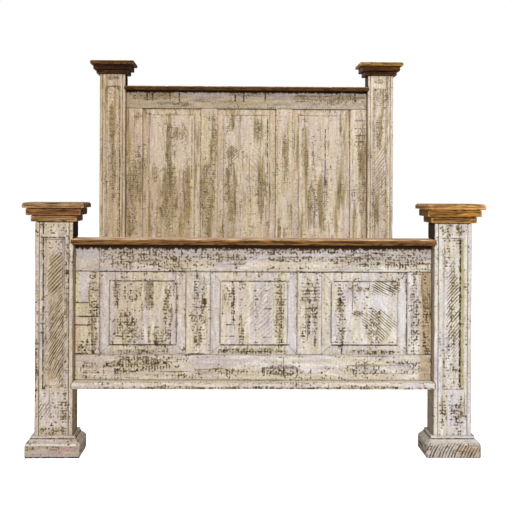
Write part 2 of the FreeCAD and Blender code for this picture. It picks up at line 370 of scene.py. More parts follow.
def saw_marks(k, opening):
    """Gives a look k.fine, a fine roughness, and k.dash, saw marks crossed with the grain.

    Along the top and bottom of a panel's opening (x_low, x_high, z_low, z_high) the marks turn a right angle.
    k.aside and k.upright are then the distances inside the opening's sides and its ends.
    """
    k.fine = k.plus(k.times(k.noise((110, 100, 100), 0), 0.42), k.times(k.noise((180, 180, 180), 0), 0.18))
    wobble = k.times(k.noise((3, 6, 6), 1), 6.0)

    def dashes(line, cross, sawn, grained):
        row = k.math("SINE", k.plus(k.times(line, 2 * math.pi / SAW_PITCH), wobble))
        column = k.math("SINE", k.plus(k.times(cross, 2 * math.pi / GRAIN_PITCH), wobble))
        return k.plus(k.fine, k.times(row, 0.042), k.times(column, 0.024), k.times(k.noise(sawn, 0), 0.2),
                      k.times(k.noise(grained, 0), 0.2))

    k.dash = dashes(k.along, k.across, (60, 20, 20), (12, 80, 80))
    if opening:
        k.aside, k.upright = k.inset(X, *opening[:2]), k.inset(Z, *opening[2:])
        turned = k.math("LESS_THAN", k.upright, k.math("MINIMUM", k.aside, BORDER * MM))
        mixer = k.add("ShaderNodeMix", Factor=turned)
        k.give(mixer.inputs[2], k.dash)
        k.give(mixer.inputs[3], dashes(k.across, k.along, (20, 60, 60), (80, 12, 12)))
        k.dash = mixer.outputs[0]


def paint_coat(k, tone, edge, tint, warm, strips):
    """The paint's colour where it still covers the wood, with a painted highlight along its edges and painted
    light that is dimmer and warmer on the left.
    """
    paint = k.mix(k.step(k.noise((4, 20, 20), 3), 0.42, 0.58), CREAM, LILAC)
    straw = k.plus(k.noise((6, 28, 28), 2, 0.5, 0.4), k.math("MULTIPLY_ADD", tone, 0.24, -0.12))
    paint = k.mix(k.times(k.step(straw, 0.50, 0.66), 0.7), paint, STRAW)
    paint = k.mix(k.times(k.step(k.noise((14, 48, 48), 2), 0.50, 0.66), 0.8), paint, CHALK)
    # painted highlight: the paint is lighter along the board's edges
    paint = k.mix(k.times(k.step(edge, 0.10, 0.5), 0.35), paint, CHALK)
    # painted light: the paint is dimmer and warmer towards the left, brighter and cooler towards the right
    painted_light_across = k.mix(k.step(k.xyz[X], -1.0, 1.0), LEFT_PAINTED_LIGHT, RIGHT_PAINTED_LIGHT)
    paint = k.mix(1.0, paint, painted_light_across, "MULTIPLY")
    if tint:
        paint = k.mix(1.0, paint, tint, "MULTIPLY")
    if warm:
        paint = k.mix(k.times(k.step(k.noise((2, 16, 16), 3), 0.2, 0.65), warm), paint, TAN)
    for x0, x1, z0, z1, colour, share in strips:
        paint = k.mix(k.times(k.band(x0, x1, z0, z1), share), paint, colour)
    relief = k.times(k.noise((9, 70, 70), 3, 0.7), 0.8)
    grey = k.mix(k.plus(k.times(k.fine, -0.8), k.times(k.dash, -0.2), relief, 0.44),
                 (0.10, 0.10, 0.10), (0.90, 0.90, 0.90))
    return k.mix(0.75, paint, grey, "OVERLAY")


def wear_map(k, wear, spots):
    """How worn the paint is, from broad patches and the spots set for the board."""
    broad, long = k.noise((5, 14, 14), 4, 0.65), k.noise((2.5, 38, 38), 2)
    patch = k.plus(k.times(broad, 0.8), k.times(long, 0.6), wear - 0.72)
    for x, z, half_x, half_z, amount in spots:
        patch = k.math("MULTIPLY_ADD", k.spot(x, z, half_x, half_z), 0.75 * amount, patch)
    return k.math("MINIMUM", patch, 0.24)


def bare_places(k, patch, edge, rub, streaky, soft, hatches):
    """1 where the paint is gone: scraped dashes, specks, streaks, chipped edges and slanting saw marks."""
    sawn = k.math("MULTIPLY_ADD", patch, 0.47, k.dash)
    scraped = k.times(k.step(sawn, 0.625 - 0.03 * soft, 0.665 + 0.06 * soft), 1 - 0.2 * soft)
    speckled = k.math("MULTIPLY_ADD", patch, 0.60, k.noise((150, 150, 150), 1))
    specks = k.times(k.step(speckled, 0.70, 0.76), 0.5)
    start = 0.67 - 0.06 * streaky
    streaked = k.math("MULTIPLY_ADD", patch, 0.30, k.noise((5, 90, 90), 2))
    streaks = k.times(k.step(streaked, start, start + 0.07), 0.7)
    chipped = k.plus(k.noise((16, 70, 70), 3, 0.6), k.times(edge, 0.22 * rub + 0.03), -0.03)
    worn_edge = k.times(k.step(chipped, 0.62, 0.70), k.step(edge, 0.05, 0.4), min(1.0, rub + 0.2))
    worn_through = k.step(k.noise((60, 90, 90), 2), 0.36, 0.56)
    bare = k.times(k.most(scraped, specks, streaks, worn_edge),
                   k.math("MULTIPLY_ADD", worn_through, 0.4, 0.6))
    for mark in hatches:
        bare = k.most(bare, k.hatch(*mark))
    return bare


def grime_and_painted_shade(k, colour, edge, joint, strokes, opening):
    """Dirt and painted shade in hollows, dirt along joints, dark strokes, and mitre lines at a panel's
    corners. Some strokes are painted shade and shadow.
    """
    dirt = k.noise((30, 30, 30), 3, 0.6)
    # dirt and painted shade: darker where the surface is hollow
    hollow = k.step(k.math("MULTIPLY_ADD", dirt, 0.9, k.times(k.attribute("pit"), 0.9)), 0.75, 1.25)
    seam = k.times(k.step(k.math("MULTIPLY_ADD", dirt, 0.9, edge), 0.95, 1.3), joint)
    colour = k.mix(k.times(k.most(hollow, seam), 0.7), colour, GRIME_AND_SHADE)
    for mark in strokes:
        colour = k.mix(k.stroke(*mark), colour, GRIME_AND_SHADE)
    if opening:
        off = k.math("ABSOLUTE", k.math("SUBTRACT", k.upright, k.aside))
        mitre = k.math("SUBTRACT", 1.0, k.step(off, 1.0 * MM, 3.2 * MM))
        in_border = k.math("LESS_THAN", k.upright, BORDER * MM)
        colour = k.mix(k.times(mitre, in_border, k.broken, 0.6), colour, GRIME_AND_SHADE)
    return colour


def stain_and_painted_shade(k, colour, top_dark, flank):
    """Dark brown stain, standing also for the cap rail's painted shadow, over the top of a rail; painted
    shade on the sideways faces of a post's inner board, dark brown above z_dark.
    """
    stain = k.mix(k.noise((8, 70, 70), 3), (0.020, 0.010, 0.004), (0.085, 0.042, 0.016))
    # dark stain under the cap rail, also its painted shadow
    if top_dark:
        rise = k.math("MULTIPLY_ADD", k.noise((85, 20, 20), 2, 0.6), 0.034, k.xyz[Z])
        colour = k.mix(k.step(rise, (top_dark + 16) * MM, (top_dark + 23) * MM), colour, stain)
    if flank:
        tint, z_dark = flank
        # painted shade on the faces that look sideways, darker brown above z_dark
        sideways = k.step(k.math("ABSOLUTE", k.normal()[X]), 0.5, 0.8)
        painted_side_shade = k.mix(1.0, colour, tint, "MULTIPLY")
        darker = k.mix(1.0, stain, (0.36, 0.21, 0.11), "MULTIPLY")
        above = k.step(k.xyz[Z], (z_dark - 2) * MM, (z_dark + 2) * MM)
        colour = k.mix(sideways, colour, k.mix(above, painted_side_shade, darker))
    return colour


def painted(name, grain, face, seed, wear=0.0, warm=0.0, tint=None, rub=0.3, joint=0.2, streaky=0.2, soft=0.0,
            wood=(BARE_DARK, BARE_MID), spots=(), hatches=(), strips=(), strokes=(), opening=None,
            top_dark=None, flank=None):
    """Scraped off-white paint over rough-sawn pine.

    wear shifts how much paint is gone everywhere, and spots (x, z, half_x, half_z, amount) shift it locally.
    warm and tint change the paint's tone, rub bares the edges, joint dirties them, streaky adds brown streaks
    along the grain, and soft blurs the marks. wood is the dark and the light tone of bare wood.
    hatches (x, z, half_x, half_z, slope, period, strength) are slanting saw marks.
    strips (x_low, x_high, z_low, z_high, colour, share) are bands of another tone, some of them painted light
    and shade.
    strokes (x0, z0, x1, z1, width, strength) are dark lines: cracks, joints, and painted shade and shadow
    along recesses and panels.
    opening (x_low, x_high, z_low, z_high) is the opening that a panel fills.
    Above top_dark the wood has dark stain, which also stands for the cap rail's painted shadow.
    flank (tint, z_dark) gives the faces that look sideways painted shade and makes them dark brown above
    z_dark.
    """
    k = Look(name, grain, face, seed)
    k.ragged = k.math("MULTIPLY_ADD", k.noise((24, 44, 44), 4, 0.65), 2.6, -1.3)
    k.broken = k.math("MULTIPLY_ADD", k.step(k.noise((70, 70, 70), 2, 0.6), 0.38, 0.58), 0.75, 0.25)
    tone, edge = k.attribute("tone"), k.attribute("edge")
    saw_marks(k, opening)
    paint = paint_coat(k, tone, edge, tint, warm, strips)
    patch = wear_map(k, wear, spots)
    bare = bare_places(k, patch, edge, rub, streaky, soft, hatches)

    olive = k.step(k.math("MULTIPLY_ADD", patch, 0.35, k.noise((2.5, 32, 32), 3, 0.6)), 0.52, 0.70)
    colour = k.mix(k.times(olive, streaky), paint, OLIVE)
    rinsed = k.math("MULTIPLY_ADD", k.noise((12, 40, 40), 4, 0.7), 0.5, patch)
    rinsed = k.times(k.step(rinsed, 0.30, 0.58), 0.35)
    thin = k.times(k.step(k.math("MULTIPLY_ADD", patch, 0.47, k.dash), 0.535, 0.63), 0.40)
    colour = k.mix(k.most(rinsed, thin), colour, WASH)
    colour = k.mix(bare, colour, k.mix(k.step(k.noise((20, 70, 70), 3, 0.6), 0.34, 0.64), *wood))
    colour = grime_and_painted_shade(k, colour, edge, joint, strokes, opening)
    colour = stain_and_painted_shade(k, colour, top_dark, flank)

    fibre = k.noise((25, 320, 320), 3, 0.6)
    height = k.plus(k.times(fibre, 0.3), k.times(bare, -0.9), k.times(k.fine, -0.6), k.times(k.dash, -0.15))
    rough = k.math("MULTIPLY_ADD", fibre, 0.2, 0.68)
    return k.finish(colour, rough, height, 1.2 * MM, Specular_IOR_Level=0.08 if flank else 0.25)


def stained(name, grain, face, seed, dark, light, golden=0.4, rub=0.7, top=None, strips=(), inward=0):
    """Brown stain and wax on pine: grain lines, darker blotches and edges rubbed lighter.

    top is a painted highlight on the face that looks up. The face that looks along X with the sign of inward
    gets painted shade.
    """
    k = Look(name, grain, face, seed)
    k.ragged = k.math("MULTIPLY_ADD", k.noise((12, 44, 44), 4, 0.65), 2.0, -1.0)
    rings = k.noise((4, 70, 70), 4, 0.65, 0.8)
    grainy = k.noise((18, 230, 230), 2, 0.6)
    colour = k.mix(k.step(rings, 0.32, 0.66), dark, light)
    gold = tuple(min(1.0, c * g) for c, g in zip(light, (1.9, 1.75, 1.4)))
    colour = k.mix(k.times(k.step(k.noise((9, 70, 70), 3), 0.52, 0.62), golden), colour, gold)
    for x0, x1, z0, z1, tint, share in strips:
        colour = k.mix(k.times(k.band(x0, x1, z0, z1), share), colour, tint)
    # painted highlight: the face that looks up is lighter
    if top:
        up = k.step(k.normal()[Z], 0.2, 0.7)
        colour = k.mix(k.times(up, k.step(k.noise((9, 40, 40), 3), 0.25, 0.5)), colour, top)
    # painted shade: the face that looks inward is darker
    if inward:
        inner = k.step(k.times(k.normal()[X], inward), 0.5, 0.8)
        colour = k.mix(inner, colour, k.mix(1.0, colour, (0.50, 0.42, 0.34), "MULTIPLY"))
    grey = k.mix(k.step(grainy, 0.25, 0.75), (0.06, 0.06, 0.06), (0.94, 0.94, 0.94))
    colour = k.mix(0.9, colour, grey, "OVERLAY")
    flecks = k.step(k.noise((22, 95, 95), 3, 0.6), 0.58, 0.66)
    colour = k.mix(k.times(flecks, 0.55), colour, tuple(c * 0.4 for c in dark))
    rubbed = k.times(k.step(k.attribute("edge"), 0.15, 0.7), k.step(k.noise((30, 60, 60), 3), 0.38, 0.58))
    colour = k.mix(k.times(rubbed, rub), colour, tuple(min(1.0, c * 1.9 + 0.01) for c in light))
    # painted shade: darker in hollows
    colour = k.mix(k.times(k.attribute("pit"), 0.9), colour, tuple(c * 0.15 for c in dark))
    rough = k.math("MULTIPLY_ADD", grainy, 0.25, 0.50)
    height = k.plus(k.times(grainy, 0.5), k.times(rings, 0.5))
    return k.finish(colour, rough, height, 0.5 * MM, Specular_IOR_Level=0.06)


def bare_pine(name, grain, face, seed):
    """Planed pine without finish."""
    k = Look(name, grain, face, seed)
    rings = k.noise((1.5, 30, 30), 4, 0.5, 1.2)
    grainy = k.noise((10, 300, 300), 3, 0.6)
    colour = k.mix(k.step(rings, 0.35, 0.65), (0.56, 0.40, 0.22), (0.44, 0.27, 0.12))
    colour = k.mix(0.3, colour, k.mix(grainy, (0.3, 0.3, 0.3), (0.8, 0.8, 0.8)), "OVERLAY")
    knots = k.step(k.noise((6, 12, 12), 1, 0.5, 0.6), 0.72, 0.76)
    colour = k.mix(k.times(knots, 0.85), colour, (0.16, 0.075, 0.03))
    # painted shade: darker in hollows
    colour = k.mix(k.times(k.attribute("pit"), 0.6), colour, (0.08, 0.05, 0.025))
    return k.finish(colour, k.math("MULTIPLY_ADD", grainy, 0.2, 0.6), grainy, 0.3 * MM)


def zinc(name):
    """Zinc-plated steel: faint spangle and dull sheen."""
    k = Look(name, X, Y, 3)
    spangle = k.noise((260, 260, 260), 3)
    colour = k.mix(spangle, (0.42, 0.42, 0.41), (0.62, 0.62, 0.63))
    return k.finish(colour, k.math("MULTIPLY_ADD", spangle, 0.25, 0.3), spangle, 0.1 * MM, Metallic=1.0)


# ------------------------------------------------------------------ boards
# what is particular to a painted board: keyword arguments of painted, with places in mm
MARKS = {
    "foot_post_left_core": dict(
        spots=[(-790, 905, 60, 28, 0.3), (-745, 185, 20, 60, 0.35), (-800, 100, 70, 12, 0.5),
               (-738, 640, 10, 240, 0.3)],
        hatches=[(-785, 715, 38, 100, 1.0, 11, 1.0), (-780, 460, 46, 190, 1.5, 8.5, 1.0),
                 (-845, 185, 22, 45, 1.4, 11, 0.8), (-815, 185, 16, 40, 1.4, 11, 0.8)],
        strips=[(-815, -755, 300, 800, (0.36, 0.26, 0.15), 0.7), (-845, -735, 120, 262, LILAC, 0.6)],
        # the strokes round the recess are painted shade and shadow; the one above it is a crack
        strokes=[(-833, 866, -833, 270, 5, 1.6), (-748, 866, -748, 560, 4, 0.8),
                 (-840, 866, -748, 866, 5, 1.5), (-835, 270, -825, 270, 6, 2.0),
                 (-833, 925, -833, 880, 6, 1.2)]),
    "foot_post_right_core": dict(
        spots=[(790, 905, 60, 28, 0.35), (752, 180, 16, 60, 0.4), (822, 175, 22, 60, 0.35),
               (765, 800, 16, 60, 0.2)],
        hatches=[(795, 590, 30, 230, 1.3, 10, 0.85)],
        strips=[(824, 836, 280, 866, (0.42, 0.37, 0.16), 0.85),
                (765, 815, 120, 262, (0.58, 0.55, 0.62), 0.6)],
        # the strokes round the recess are painted shade and shadow
        strokes=[(820, 862, 820, 275, 8, 1.8), (748, 868, 832, 868, 5, 0.9), (755, 268, 835, 268, 4, 0.9)]),
    "foot_post_left_outer_board": dict(
        spots=[(-862, 360, 10, 60, 0.7)],
        strips=[(-870, -854, 90, 928, MAUVE, 0.3)]),
    "foot_post_right_outer_board": dict(
        wear=-0.05,
        strips=[(861, 870, 100, 900, (0.42, 0.37, 0.47), 0.4)]),
    "foot_post_left_base": dict(
        spots=[(-880, 38, 25, 10, 0.8), (-780, 40, 40, 10, 0.4)],
        # the light band at the plinth's top edge is a painted highlight
        strips=[(-910, -670, 57, 92, (0.64, 0.56, 0.49), 0.6), (-910, -670, 50, 57, (0.80, 0.72, 0.66), 0.7),
                (-910, -670, -5, 16, (0.40, 0.31, 0.36), 0.7), (-790, -710, 28, 40, (0.48, 0.28, 0.24), 0.7)],
        strokes=[(-895, 3, -690, 3, 9, 1.4)]),
    "foot_post_right_base": dict(
        hatches=[(790, 24, 170, 36, 1.9, 11, 1.0)],
        strips=[(670, 910, 57, 92, (0.66, 0.60, 0.54), 0.6), (800, 905, 8, 52, (0.42, 0.28, 0.18), 0.6)]),
    "footboard_top_rail": dict(
        spots=[(0, 812, 720, 16, 0.4), (-520, 795, 110, 45, 0.4), (-380, 790, 120, 50, 0.5),
               (-300, 760, 60, 40, 0.3), (-120, 790, 140, 20, 0.5), (-60, 775, 30, 40, 0.6),
               (170, 780, 160, 14, 0.5), (410, 775, 120, 30, 0.4), (560, 780, 170, 45, 0.45),
               (-668, 790, 50, 60, -0.5), (-60, 745, 130, 14, -0.3)],
        # the grey band along the top is painted shade under the cap rail
        strips=[(-740, 740, 772, 845, (0.43, 0.38, 0.41), 0.6)],
        strokes=[(-617, 740, -617, 835, 5, 0.6)],
        # top_dark: dark stain along the top, also the cap rail's painted shadow
        top_dark=816),
    "footboard_bottom_rail": dict(
        spots=[(-470, 355, 130, 38, 0.4), (-110, 332, 130, 12, 0.55), (105, 332, 80, 24, 0.7),
               (440, 335, 100, 28, 0.4), (620, 345, 60, 30, 0.25), (-230, 350, 70, 30, -0.3),
               (-650, 350, 40, 30, 0.2)],
        strips=[(665, 718, 296, 396, (0.40, 0.28, 0.15), 0.8), (-720, 600, 296, 312, STRAW, 0.5)],
        strokes=[(x, 312, x, 345, 5, 1.4) for x in (36, 42, 120, 176)] + [(120, 345, 120, 385, 4, 0.8)]),
    "footboard_stile_left": dict(
        spots=[(-645, 560, 22, 180, 0.5), (-690, 640, 18, 90, -0.3), (-680, 430, 30, 40, 0.3)],
        strips=[(-720, -700, 560, 730, YELLOW, 0.8), (-720, -700, 396, 545, PEACH, 0.9),
                (-698, -664, 610, 735, LILAC, 0.6)],
        strokes=[(-716, 603, -645, 603, 5, 1.2), (-716, 548, -634, 548, 6, 2.0),
                 (-716, 514, -650, 514, 5, 1.6), (-716, 448, -668, 448, 4, 0.8),
                 (-714, 400, -690, 400, 6, 1.6)]),
    "footboard_stile_right": dict(
        spots=[(648, 560, 20, 170, 0.5), (695, 540, 18, 190, 0.4)],
        strips=[(668, 722, 390, 750, (0.40, 0.28, 0.15), 0.85)]),
    "footboard_muntin_left": dict(
        strokes=[(-262, 399, -200, 399, 6, 1.4)],
        spots=[(-230, 660, 12, 70, 0.55), (-200, 650, 10, 80, 0.7), (-225, 520, 34, 110, 0.4)]),
    "footboard_muntin_right": dict(
        spots=[(215, 560, 14, 130, 0.45), (245, 540, 12, 120, 0.45), (262, 480, 8, 90, -0.2)],
        strokes=[(183, 726, 270, 726, 5, 1.3), (272, 430, 272, 505, 5, 1.0)] +
                [(190, z, 265, z, 4, 0.9) for z in (612, 626, 640, 655, 668, 681)]),
    "footboard_panel_left": dict(
        spots=[(-418, 625, 17, 62, 1.0), (-508, 500, 52, 76, 0.8), (-550, 640, 14, 60, 0.8),
               (-352, 560, 9, 150, 1.0), (-336, 560, 8, 150, 0.8), (-418, 470, 8, 50, 0.8),
               (-470, 405, 100, 10, 0.9), (-490, 640, 40, 40, 0.35), (-385, 470, 24, 60, 0.45),
               (-597, 560, 16, 160, -0.6), (-292, 560, 14, 160, -0.6)],
        # the LILAC bands on the side borders are painted highlight on their slopes
        strips=[(-436, -404, 588, 690, (0.12, 0.085, 0.035), 0.75), (-610, -582, 396, 728, LILAC, 0.6),
                (-308, -280, 396, 728, LILAC, 0.4), (-560, -440, 410, 432, STRAW, 0.7)]),
    "footboard_panel_centre": dict(
        spots=[(-84, 610, 10, 90, 1.0), (103, 560, 20, 150, 0.8), (-40, 410, 120, 12, 0.7),
               (60, 410, 60, 12, 0.7), (-110, 640, 16, 50, 0.4), (-50, 500, 14, 80, 0.4),
               (-154, 560, 16, 160, -0.6), (154, 560, 16, 160, -0.6)],
        hatches=[(34, 560, 58, 140, 1.0, 13, 0.3)],
        # the two bands on the side borders are painted highlight on their slopes
        strips=[(84, 122, 440, 700, STRAW, 0.7), (136, 170, 396, 728, (0.60, 0.56, 0.64), 0.6),
                (-170, -138, 396, 728, LILAC, 0.6), (-100, 120, 396, 430, STRAW, 0.5)],
        # the first stroke deepens the painted shadow under the top rail
        strokes=[(-172, 729, -142, 729, 9, 2.0), (-82, 520, -82, 680, 5, 1.0), (-110, 516, -80, 516, 5, 1.6),
                 (-115, 470, -78, 470, 4, 1.0), (45, 580, 72, 580, 5, 1.4), (35, 466, 72, 466, 4, 0.9)]),
    "footboard_panel_right": dict(
        spots=[(350, 540, 22, 130, 0.5), (420, 660, 55, 10, 0.7), (418, 562, 16, 12, 0.7),
               (480, 405, 110, 10, 0.8), (500, 610, 40, 35, -0.5), (597, 560, 16, 160, -0.6)],
        hatches=[(530, 665, 66, 40, -0.55, 9.5, 1.0), (500, 520, 75, 80, -0.8, 9, 0.8),
                 (420, 562, 24, 14, -0.5, 8, 0.9)],
        strips=[(470, 535, 560, 640, (0.66, 0.64, 0.68), 0.6),
                # the band on the right border is painted highlight on its slope
                (580, 614, 396, 728, (0.66, 0.63, 0.66), 0.5)]),
    "footboard_ledge": dict(
        spots=[(-400, 269, 240, 11, 1.2), (0, 269, 260, 11, 1.2), (420, 269, 300, 11, 1.2)],
        # the light band on the top face is a painted highlight
        strips=[(-760, 760, 290, 300, (0.84, 0.76, 0.60), 0.85),
                (-740, 740, 276, 290, (0.66, 0.56, 0.50), 0.4)]),
    "headboard_top_rail": dict(
        spots=[(-560, 1615, 150, 32, 0.6), (-380, 1562, 60, 12, 0.8), (20, 1622, 130, 16, 0.7),
               (-62, 1624, 36, 12, 0.6), (480, 1598, 230, 34, 0.7)],
        # the grey band along the top is painted shade under the cap rail
        strips=[(-740, 740, 1600, 1650, (0.42, 0.34, 0.34), 0.7)],
        strokes=[(-600, 1634, -540, 1634, 12, 1.4), (-530, 1574, -350, 1566, 12, 0.5)] +
                [(x, 1584, x, 1642, 11, 1.2) for x in (-592, -560, -456, -401, -69, -19, 110, 645)],
        # top_dark: dark stain along the top, also the cap rail's painted shadow
        top_dark=1630),
    "headboard_stile_left": dict(
        spots=[(-640, 1150, 26, 240, 0.4), (-685, 1020, 40, 260, 0.5), (-645, 1490, 30, 12, 0.8)],
        strips=[(-720, -620, 560, 1150, BROWN, 0.22)]),
    "headboard_stile_right": dict(
        spots=[(690, 1180, 24, 300, 0.7)],
        strokes=[(650, z, 706 + 3 * (z % 5), z, 6, 1.0) for z in (1347, 1383, 1424, 1471)]),
    "headboard_muntin_left": dict(
        spots=[(-195, 1300, 20, 220, 0.5), (-225, 1020, 50, 240, 0.5), (-205, 1480, 30, 14, 0.8)],
        strips=[(-270, -178, 560, 1100, BROWN, 0.22)]),
    "headboard_muntin_right": dict(spots=[(235, 1250, 24, 160, 0.3)]),
    "headboard_panel_left": dict(
        spots=[(-460, 1300, 20, 230, 0.5), (-390, 1400, 46, 60, 0.3), (-545, 1150, 20, 90, 0.3),
               (-460, 1020, 60, 220, 0.5), (-350, 1060, 26, 200, 0.4), (-545, 1360, 30, 120, -0.4),
               (-400, 1240, 30, 90, -0.4)],
        strips=[(-580, -312, 1180, 1500, PINK, 0.5), (-472, -446, 1060, 1510, KHAKI, 0.85),
                (-446, -360, 1370, 1425, KHAKI, 0.5), (-540, -330, 560, 1130, BROWN, 0.3)],
        strokes=[(-325, 1120, -325, 1480, 6, 0.8)]),
    "headboard_panel_centre": dict(
        spots=[(-92, 1450, 18, 50, 0.8), (-86, 1280, 30, 40, 0.5), (64, 1420, 20, 60, 0.4),
               (-90, 1060, 44, 200, 0.5), (0, 1400, 40, 120, -0.5), (80, 1040, 30, 160, 0.4)],
        hatches=[(-86, 1270, 40, 50, 1.0, 13, 0.8), (50, 1180, 60, 130, -1.3, 24, 0.28)],
        strips=[(-130, 120, 1220, 1500, PINK, 0.45), (-130, -50, 560, 1130, BROWN, 0.3),
                (46, 76, 1330, 1460, KHAKI, 0.4)],
        strokes=[(124, 1080, 124, 1490, 7, 1.1)]),
    "headboard_panel_right": dict(
        spots=[(350, 1300, 22, 200, 0.3), (560, 1440, 10, 60, 0.6), (430, 1000, 80, 160, 0.3),
               (510, 1380, 30, 120, -0.5)],
        strips=[(316, 575, 1220, 1500, PINK, 0.5), (552, 568, 1380, 1500, KHAKI, 0.8),
                (330, 372, 1060, 1440, KHAKI, 0.35)],
        strokes=[(469, 1080, 469, 1420, 6, 1.5)]),
    "head_post_right_core": dict(
        hatches=[(790, 1150, 38, 300, 1.3, 15, 0.5)],
        spots=[(800, 1610, 40, 40, 0.7), (785, 1400, 20, 120, 0.5), (780, 1700, 34, 14, 0.8)],
        strips=[(752, 828, 520, 1180, BROWN, 0.25)],
        # the strokes along the recess's sides are painted shade
        strokes=[(748, 1663, 748, 520, 5, 0.8), (832, 1663, 832, 520, 5, 0.6)]),
    "head_post_left_core": dict(
        spots=[(-795, 1450, 16, 150, 0.7), (-790, 1180, 24, 200, 0.6), (-790, 1712, 40, 12, 1.0)],
        strips=[(-812, -776, 1330, 1560, KHAKI, 0.7), (-826, -760, 520, 1180, BROWN, 0.25)],
        # the strokes along the recess's sides and top are painted shade and shadow
        strokes=[(-833, 1663, -833, 520, 5, 0.5), (-748, 1663, -748, 520, 6, 1.4),
                 (-820, 1663, -748, 1663, 7, 1.4)]),
}
PLANKS = {  # joints between a panel's planks, in mm along X, and the tone of each plank
    "footboard_panel_left": ((-555, -406, -346), (0.6, 0.3, 0.8, 0.1)),
    "footboard_panel_centre": ((-75, 79), (0.4, 0.2, 1.0)),
    "footboard_panel_right": ((356, 545), (0.6, 0.2, 0.3)),
    "headboard_panel_left": ((-474, -390), (0.5, 1.0, 0.4)),
    "headboard_panel_centre": ((-34, 60), (0.4, 0.1, 0.8)),
    "headboard_panel_right": ((409, 469), (0.7, 0.2, 0.5)),
}


def paint_board(node, grain, face, voxel, seed, rounding=0.6, **look):
    """A painted board with the marks set for it in MARKS and PLANKS."""
    marks = dict(MARKS.get(node, {}))
    look["strokes"] = list(look.get("strokes", ())) + list(marks.pop("strokes", ()))
    look.update(marks)
    worn(node, painted("paint_" + node, grain, face, seed, **look), voxel, rounding, seed, PLANKS.get(node))


HEAD_WOOD = (0.050, 0.029, 0.010), (0.22, 0.140, 0.058)     # dark and light tone
LOOKS = {"foot": dict(warm=0.1),
         "head": dict(warm=0.35, tint=(1.16, 1.07, 0.96), streaky=0.9, soft=0.8, joint=0.05, wood=HEAD_WOOD)}
CAP_LAYERS = ("lower", "middle", "top")
CAP_TONES = {  # dark and light tone of each layer
    ("foot", "left"): (((0.09, 0.042, 0.014), (0.30, 0.175, 0.07)),
                       ((0.035, 0.013, 0.004), (0.17, 0.075, 0.026)),
                       ((0.085, 0.042, 0.016), (0.26, 0.155, 0.068))),
    ("foot", "right"): (((0.05, 0.020, 0.006), (0.30, 0.15, 0.045)),
                        ((0.12, 0.052, 0.010), (0.34, 0.17, 0.040)),
                        ((0.12, 0.054, 0.014), (0.46, 0.24, 0.080))),
    ("head", "left"): (((0.014, 0.005, 0.002), (0.06, 0.024, 0.007)),
                       ((0.008, 0.002, 0.001), (0.038, 0.013, 0.003)),
                       ((0.04, 0.014, 0.003), (0.15, 0.066, 0.014))),
    ("head", "right"): (((0.016, 0.005, 0.002), (0.075, 0.030, 0.009)),
                        ((0.014, 0.004, 0.001), (0.075, 0.028, 0.007)),
                        ((0.10, 0.046, 0.010), (0.33, 0.19, 0.045))),
}
CAP_RAIL_TONES = {
    "foot": dict(dark=(0.055, 0.020, 0.005), light=(0.19, 0.092, 0.026),
                 # the strip along the front's lower edge is painted shade of the rounded nose
                 strips=[(-740, 740, 834, 845, (0.070, 0.032, 0.010), 0.8)]),
    "head": dict(dark=(0.018, 0.006, 0.002), light=(0.085, 0.038, 0.009)),
}
INNER_SIDE_PAINTED_SHADE = (0.66, 0.60, 0.50)
# base paint: a little pinker, and darker as painted shade
BASE_TONE_AND_SHADE = {"left": (0.74, 0.72, 0.73), "right": (0.78, 0.77, 0.78)}
BEAD_Z = 74
VOXEL = {"foot": FINE, "head": MEDIUM}


def lowest(node, axis):
    """A node's lowest place along an axis, in mm."""
    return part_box(node)[0][axis] / MM


def highest(node, axis):
    """A node's highest place along an axis, in mm."""
    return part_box(node)[1][axis] / MM


def post(end, side, count):
    """A post: core, boards on both sides, base and three cap boards. count makes its seeds its own."""
    stem = "%s_post_%s_" % (end, side)
    look, voxel = LOOKS[end], VOXEL[end]
    sign = -1 if side == "left" else 1
    joint = lowest(stem + "inner_board", X) if side == "left" else highest(stem + "inner_board", X)
    dots = [(joint, 130, joint, 925, 4, 0.55)] if end == "foot" else []
    paint_board(stem + "core", Z, Y, voxel, 11 + count, strokes=dots, **look)
    paint_board(stem + "outer_board", Z, Y, voxel, 31 + count, **look)
    # painted shade on the inner boards' sideways faces
    flank = INNER_SIDE_PAINTED_SHADE, highest(end + "board_cap_rail", Z)
    paint_board(stem + "inner_board", Z, Y, voxel, 41 + count, flank=flank, **look)
    middle = (lowest(stem + "base", X) + highest(stem + "base", X)) / 2
    bead = [(middle - 120, BEAD_Z, middle + 120, BEAD_Z, 4, 1.3)]
    base_look = dict(look, tint=BASE_TONE_AND_SHADE[side])
    paint_board(stem + "base", X, Y, FINE, 51 + count, 1.0, rub=0.5, strokes=bead, **base_look)
    for j, layer in enumerate(CAP_LAYERS):
        dark, light = CAP_TONES[end, side][j]
        # the caps' inward faces get painted shade
        stain = stained("stain_" + stem + layer, X, Y, 61 + 3 * count + j, dark, light, inward=-sign)
        worn(stem + "cap_" + layer, stain, FINE, 0.8, 60 + 3 * count + j)


